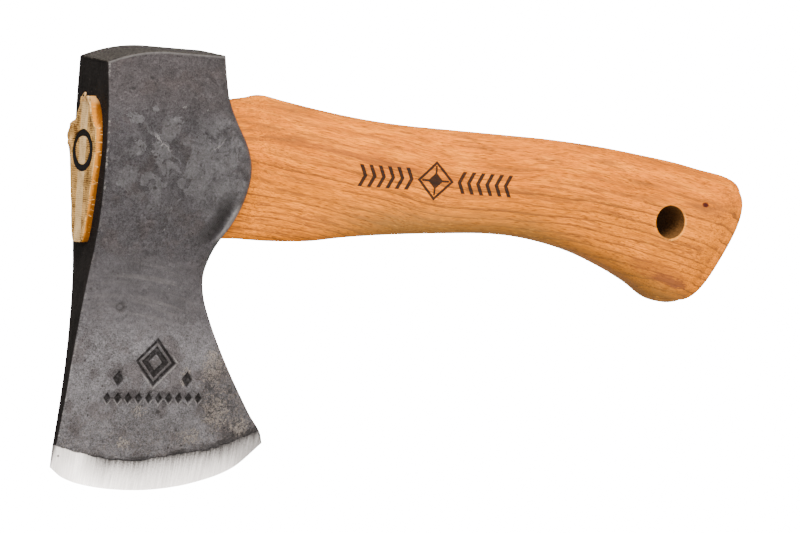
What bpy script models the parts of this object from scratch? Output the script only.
"""Carving hatchet: forged steel head, hickory handle, wooden wedge and round steel wedge.

The hatchet is drawn flat, cheek up: +X runs from the eye to the butt of the handle, +Y from the
cutting edge to the poll, and Z is the thickness. An empty then tips it, so that it lies on its lower
cheek, its cutting edge and its butt, as it does on a bench.
"""
import math

import bmesh
import bpy
from mathutils import Vector

MM = 0.001
GAP = 0.3 * MM

# How it lies on the bench, in degrees, and the middle of its footprint in the flat drawing.
ROLL = 5.848
PITCH = -0.176
REST_SHIFT = (-116.661 * MM, 28.745 * MM, 11.277 * MM)

# Head: the four borders of the cheek, in millimetres.
POLL_Y = 39.35
POLL_LEFT = (-2.1, 34.6)
POLL_RIGHT = (39.8, POLL_Y)
POLL_ROUND_END = 20.0
POLL_TILT = 0.05
POLL_TILT_END = 0.15
TOE = (-4.6, -92.6)
HEEL = (69.8, -81.2)
CUTTING_EDGE = (TOE, (0.0, -95.6), (8.0, -97.6), (20.0, -98.4), (33.0, -97.6), (47.0, -94.7), (60.0, -89.5),
                HEEL)
EYE_SIDE = ((TOE[1], TOE[0]), (-70.0, -2.3), (-50.0, -1.0), (-34.0, -0.2), (-22.0, 0.1), (-8.0, -0.2),
            (16.0, -1.0), (POLL_LEFT[1], POLL_LEFT[0]))
HANDLE_SIDE = ((HEEL[1], HEEL[0]), (-77.5, 68.2), (-72.0, 63.8), (-57.0, 53.8), (-41.7, 45.3), (-35.5, 42.7),
               (-29.3, 41.7), (-22.9, 43.1), (-18.5, 45.0), (-12.3, 48.6), (-5.2, 51.1), (3.0, 52.2),
               (10.4, 50.3), (19.0, 45.1), (25.5, 42.0), (32.0, 40.7), (POLL_RIGHT[1], POLL_RIGHT[0]))

# Half thickness of the head along its length: at its two rims, and how much more in the middle.
# The first number of each pair is the way from the poll (0) to the cutting edge (1).
RIM_HALF = ((0.0, 9.4), (0.1, 10.6), (0.2, 10.9), (0.28, 10.6), (0.36, 9.7), (0.44, 7.8), (0.52, 5.5),
            (0.585, 4.1), (0.66, 3.0), (0.74, 2.1), (0.84, 1.6), (0.935, 1.1))
CROWN = ((0.0, 0.1), (0.2, 0.3), (0.44, 0.9), (0.6, 1.5), (0.75, 1.7), (0.935, 1.2))
BEVEL_START = 0.935
EDGE_HALF = 0.06
RIM_RADIUS = 1.2
RIM_SHARE = 0.6
POLL_CORNER = 0.2
CHEEK_ROWS = 30
CHEEK_COLUMNS = 12

# Eye: a teardrop hole, narrow towards the cutting edge, whose axis climbs towards the poll.
EYE_MIDDLE = 0.3
EYE_SLOPE = 0.079
EYE_HALF_LENGTH = 22.6
EYE_HALF_WIDTH = 8.2
EYE_NARROW = 0.58
EYE_TOP_POWER = 3.2
EYE_BOTTOM_POWER = 9.0
EYE_ENDS = (-12.0, 70.0)

# Every section narrows below this part of its half length, by this power of the way down.
WIDEST_AT = 0.27
NARROW_POWER = 1.15

# Handle: where its upper and lower outlines are cut across, with the half thickness there and how much
# the lower side is narrowed.
TENON_END = -3.1
TENON_CUT_SLOPE = 0.03
TENON_STATIONS = (10.0, 24.0, 36.0)
GRIP_STATIONS = (
    ((45.0, 25.0), (45.0, -18.3), 7.8, 0.57),
    ((52.6, 26.4), (52.6, -17.9), 7.85, 0.57),
    ((58.0, 27.5), (57.0, -17.9), 9.3, 0.46),
    ((66.0, 26.3), (65.0, -17.8), 9.7, 0.38),
    ((79.0, 24.4), (77.5, -17.0), 10.0, 0.28),
    ((94.0, 22.7), (91.0, -14.95), 10.0, 0.2),
    ((110.0, 21.7), (107.0, -13.1), 9.8, 0.15),
    ((129.0, 21.4), (126.0, -11.5), 9.6, 0.12),
    ((147.0, 21.2), (144.0, -10.5), 9.6, 0.1),
    ((165.0, 20.9), (160.0, -11.3), 9.8, 0.1),
    ((183.0, 19.9), (176.0, -14.2), 10.3, 0.1),
    ((199.0, 18.3), (189.0, -18.5), 10.8, 0.08),
    ((211.0, 16.9), (199.0, -22.9), 11.1, 0.06),
    ((221.0, 15.2), (206.0, -27.0), 11.0, 0.05),
    ((230.0, 13.8), (211.3, -28.2), 10.3, 0.05),
    ((235.0, 11.8), (214.6, -27.5), 9.0, 0.05),
    ((237.2, 8.6), (216.8, -26.2), 7.6, 0.05),
)
GRIP_POWER = 2.5
BUTT_BULGE = 4.2
BUTT_POWER = 0.85
BUTT_RINGS = 4
BUTT_FLAT = 0.4
RINGS_PER_STATION = 2
HANG_HOLE = (206.0, -2.1)
HANG_HOLE_DIAMETER = 10.7
HOLE_REACH = 20.0

# Wedges in the end of the tenon.
WEDGE_DEPTH = 36.0
WEDGE_BUTT = 4.3
WEDGE_TIP = 1.0
KERF_REACH = 3.0
RING_MIDDLE = 6.0
RING_OUTER = 13.0
RING_INNER = 9.0
RING_DEPTH = 11.0
RING_TIP_WALL = 0.5
RING_CHAMFER = 0.2

SECTION_POINTS = 40
ROUND_SIDES = 48
SHARP_ANGLE = 35.0


def clear_scene():
    for item in list(bpy.data.objects):
        bpy.data.objects.remove(item, do_unlink=True)


def material(name, color, roughness, metallic):
    made = bpy.data.materials.new(name)
    made.use_nodes = True
    shader = made.node_tree.nodes["Principled BSDF"]
    shader.inputs["Base Color"].default_value = (*color, 1.0)
    shader.inputs["Roughness"].default_value = roughness
    shader.inputs["Metallic"].default_value = metallic
    made.diffuse_color = (*color, 1.0)
    return made


def smooth(points, at):
    """The value at a place on a smooth curve through (place, value) points."""
    last = len(points) - 1
    if at <= points[0][0]:
        return points[0][1]
    if at >= points[last][0]:
        return points[last][1]
    slopes = []
    for i in range(last + 1):
        before = points[max(i - 1, 0)]
        after = points[min(i + 1, last)]
        slopes.append((after[1] - before[1]) / (after[0] - before[0]))
    i = max(k for k in range(last) if points[k][0] <= at)
    span = points[i + 1][0] - points[i][0]
    t = (at - points[i][0]) / span
    start = (1 + 2 * t) * (1 - t) ** 2 * points[i][1] + t * (1 - t) ** 2 * span * slopes[i]
    end = t * t * (3 - 2 * t) * points[i + 1][1] + t * t * (t - 1) * span * slopes[i + 1]
    return start + end


def mix(a, b, t):
    return a + (b - a) * t


def edge_point(u):
    """The cutting edge's outline, a sweep that is fuller at the toe than at the heel."""
    x = mix(TOE[0], HEEL[0], u)
    return Vector((x, smooth(CUTTING_EDGE, x)))


def poll_point(u):
    """The poll's outline: flat over most of its length, and curved down at the eye side."""
    x = mix(POLL_LEFT[0], POLL_RIGHT[0], u)
    away = max(0.0, (POLL_ROUND_END - x) / (POLL_ROUND_END - POLL_LEFT[0]))
    return Vector((x, POLL_Y - (POLL_Y - POLL_LEFT[1]) * away ** 2))


def cheek_point(u, v):
    """A point of the cheek's outline sheet: u from the eye side to the handle side, v from poll to edge."""
    poll, edge = poll_point(u), edge_point(u)
    eye_y, handle_y = mix(POLL_LEFT[1], TOE[1], v), mix(POLL_RIGHT[1], HEEL[1], v)
    eye = Vector((smooth(EYE_SIDE, eye_y), eye_y))
    handle = Vector((smooth(HANDLE_SIDE, handle_y), handle_y))
    across = mix(poll, edge, v) + mix(eye, handle, u)
    corners = mix(mix(Vector(POLL_LEFT), Vector(POLL_RIGHT), u), mix(Vector(TOE), Vector(HEEL), u), v)
    return across - corners


def half_thickness(u, v):
    if v > BEVEL_START:
        return mix(half_thickness(u, BEVEL_START), EDGE_HALF, (v - BEVEL_START) / (1 - BEVEL_START))
    return smooth(RIM_HALF, v) + smooth(CROWN, v) * (1 - (2 * u - 1) ** 2)


def column_places(width, inset, radius):
    """Places across the cheek, with the drop of the rounded rim at each: pairs of (u, drop)."""
    rim = [(inset + radius * (1 - math.cos(a)), radius * (1 - math.sin(a)))
           for a in (0.0, math.pi / 4, math.pi / 2)]
    left = [(offset / width, drop + inset) for offset, drop in rim]
    inner = left[-1][0]
    middle = [(mix(inner, 1 - inner, i / CHEEK_COLUMNS), inset) for i in range(1, CHEEK_COLUMNS)]
    return left + middle + [(1 - u, drop) for u, drop in reversed(left)]


def head_rows():
    """Ways from poll to edge, each with the inset that rounds the poll's rim."""
    length = POLL_Y - TOE[1]
    rows = [(RIM_RADIUS * (1 - math.sin(a)) / length, RIM_RADIUS * (1 - math.cos(a)))
            for a in (math.pi / 2, math.pi / 4, 0.0)]
    first = rows[-1][0]
    rows += [(mix(first, BEVEL_START, i / CHEEK_ROWS), 0.0) for i in range(1, CHEEK_ROWS + 1)]
    return rows + [(1.0, 0.0)]


def strip_shell(name, rows_up, rows_down):
    """A closed shell from two matching sheets of points, the upper and the lower one."""
    mesh = bmesh.new()
    up = [[mesh.verts.new(p) for p in row] for row in rows_up]
    down = [[mesh.verts.new(p) for p in row] for row in rows_down]
    last_row, last_column = len(up) - 1, len(up[0]) - 1
    for r in range(last_row):
        for c in range(last_column):
            mesh.faces.new((up[r][c], up[r + 1][c], up[r + 1][c + 1], up[r][c + 1]))
            mesh.faces.new((down[r][c], down[r][c + 1], down[r + 1][c + 1], down[r + 1][c]))
        mesh.faces.new((up[r][0], down[r][0], down[r + 1][0], up[r + 1][0]))
        mesh.faces.new((up[r][last_column], up[r + 1][last_column],
                        down[r + 1][last_column], down[r][last_column]))
    for c in range(last_column):
        mesh.faces.new((up[0][c], up[0][c + 1], down[0][c + 1], down[0][c]))
        mesh.faces.new((up[last_row][c], down[last_row][c], down[last_row][c + 1], up[last_row][c + 1]))
    return finish_mesh(name, mesh)


def finish_mesh(name, mesh):
    bmesh.ops.recalc_face_normals(mesh, faces=mesh.faces)
    data = bpy.data.meshes.new(name)
    mesh.to_mesh(data)
    mesh.free()
    item = bpy.data.objects.new(name, data)
    bpy.context.collection.objects.link(item)
    return item


def loft(name, rings):
    """A closed solid through rings of points, with a flat face on the first and the last."""
    mesh = bmesh.new()
    rows = [[mesh.verts.new(p) for p in ring] for ring in rings]
    for near, far in zip(rows, rows[1:]):
        for i in range(len(near)):
            j = (i + 1) % len(near)
            mesh.faces.new((near[i], near[j], far[j], far[i]))
    mesh.faces.new(list(reversed(rows[0])))
    mesh.faces.new(rows[-1])
    return finish_mesh(name, mesh)


def signed_power(value, power):
    return math.copysign(abs(value) ** power, value)


def teardrop(half_length, half_width, narrow, bottom_power, top_power):
    """An outline around its own middle, as (y, z) pairs, narrowed towards its lower end."""
    outline = []
    for i in range(SECTION_POINTS):
        angle = 2 * math.pi * (i + 0.5) / SECTION_POINTS
        power = top_power if math.cos(angle) > 0 else bottom_power
        y = half_length * signed_power(math.cos(angle), 2 / power)
        widest = half_length * WIDEST_AT
        below = max(0.0, widest - y) / (widest + half_length)
        width = half_width * (1 - narrow * below ** NARROW_POWER)
        outline.append((y, width * signed_power(math.sin(angle), 2 / power)))
    return outline


def inset_outline(outline, amount):
    """The outline moved inwards by the same amount all round."""
    moved = []
    for i, (y, z) in enumerate(outline):
        before, after = outline[i - 1], outline[(i + 1) % len(outline)]
        along = Vector((after[0] - before[0], after[1] - before[1])).normalized()
        moved.append((y - along.y * amount, z + along.x * amount))
    return moved


def eye_ring(x, inset, cut_slope=0.0):
    """The eye's outline across the handle at x, on a plane that leans by cut_slope."""
    middle = EYE_MIDDLE + EYE_SLOPE * x
    outline = teardrop(EYE_HALF_LENGTH, EYE_HALF_WIDTH, EYE_NARROW, EYE_BOTTOM_POWER, EYE_TOP_POWER)
    return [Vector((x - cut_slope * (y - RING_MIDDLE), middle + y, z)) * MM
            for y, z in inset_outline(outline, inset)]


def grip_ring(upper, lower, half, narrow, scale=1.0, push=0.0):
    """A section of the handle between a point of its upper and one of its lower outline."""
    top, bottom = Vector(upper), Vector(lower)
    middle, arm = (top + bottom) / 2, (top - bottom) / 2
    outward = Vector((arm.y, -arm.x)).normalized()
    bottom_power = mix(GRIP_POWER, EYE_BOTTOM_POWER, narrow / EYE_NARROW)
    ring = []
    for along, z in teardrop(1.0, half, narrow, bottom_power, GRIP_POWER):
        place = middle + arm * scale * along + outward * push
        ring.append(Vector((place.x, place.y, z * scale)) * MM)
    return ring


def turned(name, profile, middle_y):
    """A body turned about the X direction, from a closed profile of (x, radius) points."""
    mesh = bmesh.new()
    rings = []
    for i in range(ROUND_SIDES):
        angle = 2 * math.pi * i / ROUND_SIDES
        rings.append([mesh.verts.new(Vector((x, middle_y + r * math.cos(angle), r * math.sin(angle))) * MM)
                      for x, r in profile])
    for i in range(ROUND_SIDES):
        near, far = rings[i], rings[(i + 1) % ROUND_SIDES]
        for k in range(len(profile)):
            n = (k + 1) % len(profile)
            mesh.faces.new((near[k], near[n], far[n], far[k]))
    return finish_mesh(name, mesh)


def groove(name):
    """The round slot that the steel wedge cuts into the end grain, open at the tenon's end."""
    gap = GAP / MM
    inner, outer = RING_INNER / 2 - gap, RING_OUTER / 2 + gap
    return turned(name, ((TENON_END - 1, inner), (TENON_END - 1, outer),
                         (TENON_END + RING_DEPTH + gap, outer), (TENON_END + RING_DEPTH + gap, inner)),
                  RING_MIDDLE)


def wedge_solid(name, gap, reach):
    """A flat wedge standing across the tenon, wider and longer by gap, and taller by reach."""
    start = TENON_END - (1 if gap else 0)
    tip = TENON_END + WEDGE_DEPTH + gap
    thin = (WEDGE_BUTT - WEDGE_TIP) / WEDGE_DEPTH / 2
    rings = []
    for x in (start, tip):
        half = WEDGE_BUTT / 2 - thin * (x - TENON_END) + gap
        middle = EYE_MIDDLE + EYE_SLOPE * x
        high = middle + EYE_HALF_LENGTH + reach
        low = middle - EYE_HALF_LENGTH - reach
        rings.append([Vector((x, y, z)) * MM for y, z in ((high, half), (low, half), (low, -half),
                                                         (high, -half))])
    return loft(name, rings)


def cut(target, tool):
    modifier = target.modifiers.new(tool.name, "BOOLEAN")
    modifier.operation = "DIFFERENCE"
    modifier.solver = "EXACT"
    modifier.object = tool
    tool.hide_render = True
    tool.display_type = "WIRE"


def make_head():
    up, down = [], []
    for v, inset in head_rows():
        width = (cheek_point(1, v) - cheek_point(0, v)).length
        radius = min(RIM_RADIUS, half_thickness(0, v) * RIM_SHARE) if inset < RIM_RADIUS else POLL_CORNER
        row_up, row_down = [], []
        for u, drop in column_places(width, inset, radius):
            place = cheek_point(u, v)
            z = max(half_thickness(u, v) - drop, EDGE_HALF / 2)
            lean = POLL_TILT * z * max(0.0, 1 - v / POLL_TILT_END)
            row_up.append(Vector((place.x, place.y - lean, z)) * MM)
            row_down.append(Vector((place.x, place.y + lean, -z)) * MM)
        up.append(row_up)
        down.append(row_down)
    head = strip_shell("axe_head", up, down)
    eye = loft("eye_cutter", [eye_ring(x, 0.0) for x in EYE_ENDS])
    cut(head, eye)
    head.data.materials.append(material("forged_steel", (0.10, 0.09, 0.09), 0.5, 0.8))
    return [head, eye]


def grip_station(at):
    """A station of the handle at a place counted along GRIP_STATIONS, which may lie between two."""
    def along(pick):
        return smooth([(i, pick(station)) for i, station in enumerate(GRIP_STATIONS)], at)
    upper = (along(lambda s: s[0][0]), along(lambda s: s[0][1]))
    lower = (along(lambda s: s[1][0]), along(lambda s: s[1][1]))
    return upper, lower, along(lambda s: s[2]), along(lambda s: s[3])


def butt_rings():
    """The rounded end of the butt, pushed out from the last station."""
    rings = []
    for i in range(1, BUTT_RINGS + 1):
        angle = math.pi / 2 * i / (BUTT_RINGS + BUTT_FLAT)
        scale = math.cos(angle) ** BUTT_POWER
        rings.append(grip_ring(*GRIP_STATIONS[-1], scale=scale, push=BUTT_BULGE * math.sin(angle)))
    return rings


def make_handle():
    gap = GAP / MM
    rings = [eye_ring(TENON_END, gap, TENON_CUT_SLOPE)]
    rings += [eye_ring(x, gap) for x in TENON_STATIONS]
    steps = (len(GRIP_STATIONS) - 1) * RINGS_PER_STATION
    rings += [grip_ring(*grip_station(i / RINGS_PER_STATION)) for i in range(steps + 1)]
    handle = loft("handle", rings + butt_rings())
    hole_ends = [[Vector((HANG_HOLE[0] + HANG_HOLE_DIAMETER / 2 * math.cos(a),
                          HANG_HOLE[1] + HANG_HOLE_DIAMETER / 2 * math.sin(a), z)) * MM
                  for a in (2 * math.pi * i / ROUND_SIDES for i in range(ROUND_SIDES))]
                 for z in (-HOLE_REACH, HOLE_REACH)]
    tools = [loft("hole_cutter", hole_ends), wedge_solid("kerf_cutter", gap, KERF_REACH),
             groove("handle_groove_cutter")]
    for tool in tools:
        cut(handle, tool)
    handle.data.materials.append(material("hickory", (0.66, 0.38, 0.16), 0.45, 0.0))
    return [handle, *tools]


def make_wood_wedge():
    wedge = wedge_solid("wood_wedge", 0.0, -GAP / MM)
    tool = groove("wedge_groove_cutter")
    cut(wedge, tool)
    wedge.data.materials.append(material("wedge_wood", (0.68, 0.50, 0.28), 0.7, 0.0))
    return [wedge, tool]


def make_ring_wedge():
    """A short steel tube whose wall thins to a blunt edge at its driven end."""
    inner, outer = RING_INNER / 2, RING_OUTER / 2
    middle = (inner + outer) / 2
    shoulder, tip = TENON_END + RING_CHAMFER, TENON_END + RING_DEPTH
    ring = turned("ring_wedge", (
        (TENON_END, inner + RING_CHAMFER), (TENON_END, outer - RING_CHAMFER), (shoulder, outer),
        (tip, middle + RING_TIP_WALL / 2), (tip, middle - RING_TIP_WALL / 2), (shoulder, inner)),
        RING_MIDDLE)
    ring.data.materials.append(material("wedge_steel", (0.02, 0.02, 0.022), 0.45, 0.9))
    return [ring]


def main():
    clear_scene()
    lying = bpy.data.objects.new("lying", None)
    bpy.context.collection.objects.link(lying)
    lying.rotation_euler = (math.radians(ROLL), math.radians(PITCH), 0.0)
    lying.location = REST_SHIFT
    pieces = make_head() + make_handle() + make_wood_wedge() + make_ring_wedge()
    for piece in pieces:
        piece.data.shade_smooth()
        piece.data.set_sharp_from_angle(angle=math.radians(SHARP_ANGLE))
        piece.parent = lying


main()
